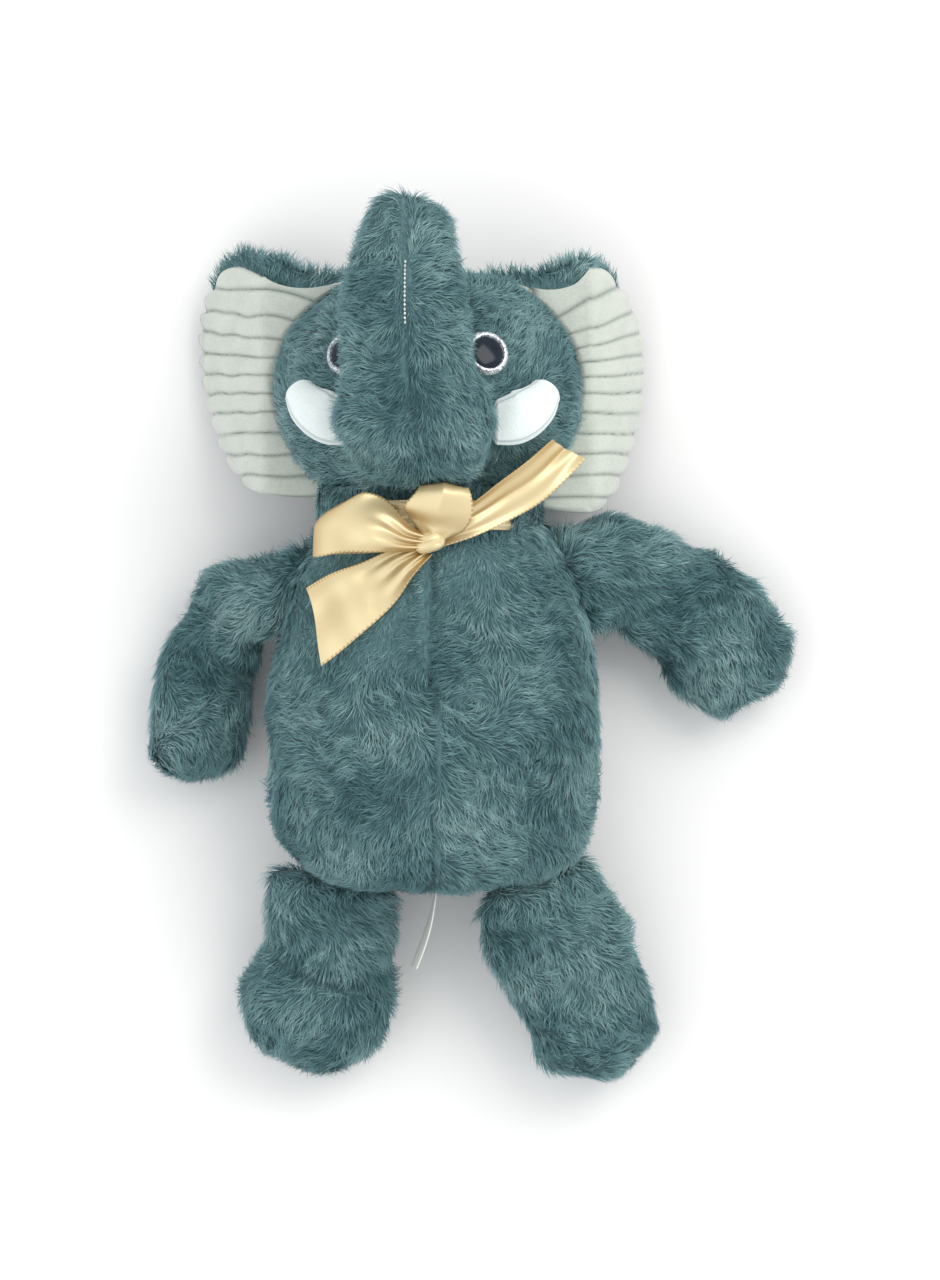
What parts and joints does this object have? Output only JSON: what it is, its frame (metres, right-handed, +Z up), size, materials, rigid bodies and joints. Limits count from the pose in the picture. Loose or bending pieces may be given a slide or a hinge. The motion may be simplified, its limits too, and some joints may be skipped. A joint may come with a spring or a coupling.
{
  "type": "stuffed elephant",
  "caption": "Plush elephant lying on its back, with a hinged head, trunk, ears, arms and legs, and a ribbon bow at the neck.",
  "frame": {"origin": "middle of the toy's outline, on the surface that its back lies on", "axes": "+X to the right of someone who looks down on the belly, +Y from the feet to the top of the head, +Z up out of the belly"},
  "size_m": [0.2842, 0.3924, 0.1503],
  "materials": {
    "fur": "long-pile plush in slate teal, matt with a soft sheen along the nap",
    "ear_lining": "ribbed minky, cream, soft and matt",
    "tusk_plush": "short white plush",
    "satin": "champagne gold satin ribbon, glossy along the weave",
    "glitter_ring": "clear plastic ring backed with silver glitter",
    "pupil": "polished black-blue plastic dome",
    "washer": "moulded white locking washer",
    "thread": "polyester sewing thread",
    "white_thread": "white hand-sewing thread",
    "label": "blank white woven tape",
    "stuffing": "white polyester fibre fill"
  },
  "bodies": {
    "torso": {"torso_front_left": "fur", "torso_front_right": "fur", "torso_back": "fur", "torso_stuffing": "stuffing", "neck_thread": "thread", "left_arm_thread": "thread", "right_arm_thread": "thread", "left_leg_thread": "thread", "right_leg_thread": "thread", "neck_ribbon": "satin", "bow_knot": "satin", "bow_left_loop": "satin", "bow_upper_loop": "satin", "bow_left_tail": "satin", "bow_right_tail": "satin", "care_label": "label"},
    "head": {"head_face_left": "fur", "head_face_right": "fur", "head_back": "fur", "head_stuffing": "stuffing", "left_tusk_front": "tusk_plush", "left_tusk_back": "tusk_plush", "left_tusk_stuffing": "stuffing", "right_tusk_front": "tusk_plush", "right_tusk_back": "tusk_plush", "right_tusk_stuffing": "stuffing", "left_eye_ring": "glitter_ring", "left_eye_pupil": "pupil", "left_eye_washer": "washer", "right_eye_ring": "glitter_ring", "right_eye_pupil": "pupil", "right_eye_washer": "washer", "trunk_thread": "thread", "left_ear_thread": "thread", "right_ear_thread": "thread"},
    "trunk": {"trunk_left": "fur", "trunk_right": "fur", "trunk_top": "fur", "trunk_stuffing": "stuffing", "trunk_stitches": "white_thread"},
    "left_ear": {"left_ear_fur": "fur", "left_ear_lining": "ear_lining"},
    "right_ear": {"right_ear_fur": "fur", "right_ear_lining": "ear_lining"},
    "left_arm": {"left_arm_front": "fur", "left_arm_back": "fur", "left_arm_stuffing": "stuffing"},
    "right_arm": {"right_arm_front": "fur", "right_arm_back": "fur", "right_arm_stuffing": "stuffing"},
    "left_leg": {"left_leg_front": "fur", "left_leg_back": "fur", "left_leg_stuffing": "stuffing"},
    "right_leg": {"right_leg_front": "fur", "right_leg_back": "fur", "right_leg_stuffing": "stuffing"}
  },
  "joints": [
    {"name": "neck_nod", "type": "hinge", "parent": "torso", "child": "head", "pos_m": [-0.01681, 0.05635, 0.05], "axis": [1, 0, 0], "range_deg": [-16, 5], "stiffness_Nm_per_rad": 0.6},
    {"name": "trunk_lift", "type": "hinge", "parent": "head", "child": "trunk", "pos_m": [-0.02081, 0.07185, 0.09452], "axis": [1, 0, 0], "range_deg": [0, 50], "stiffness_Nm_per_rad": 0.08},
    {"name": "left_ear_fold", "type": "hinge", "parent": "head", "child": "left_ear", "pos_m": [-0.09041, 0.11235, 0.05104], "axis": [0, 1, 0], "range_deg": [-8, 80], "stiffness_Nm_per_rad": 0.03},
    {"name": "right_ear_fold", "type": "hinge", "parent": "head", "child": "right_ear", "pos_m": [0.05279, 0.11235, 0.05104], "axis": [0, -1, 0], "range_deg": [-8, 80], "stiffness_Nm_per_rad": 0.03},
    {"name": "left_arm_swing", "type": "hinge", "parent": "torso", "child": "left_arm", "pos_m": [-0.08091, 0.02085, 0.04597], "axis": [0.383, 0.9237, 0], "range_deg": [-15, 45], "stiffness_Nm_per_rad": 0.06},
    {"name": "right_arm_swing", "type": "hinge", "parent": "torso", "child": "right_arm", "pos_m": [0.04729, 0.02085, 0.04597], "axis": [0.383, -0.9237, 0], "range_deg": [-15, 45], "stiffness_Nm_per_rad": 0.06},
    {"name": "left_leg_swing", "type": "hinge", "parent": "torso", "child": "left_leg", "pos_m": [-0.06181, -0.11105, 0.04597], "axis": [-0.9816, 0.1908, 0], "range_deg": [-10, 60], "stiffness_Nm_per_rad": 0.1},
    {"name": "right_leg_swing", "type": "hinge", "parent": "torso", "child": "right_leg", "pos_m": [0.02819, -0.11105, 0.04597], "axis": [-0.9135, -0.4067, 0], "range_deg": [-10, 60], "stiffness_Nm_per_rad": 0.1}
  ]
}
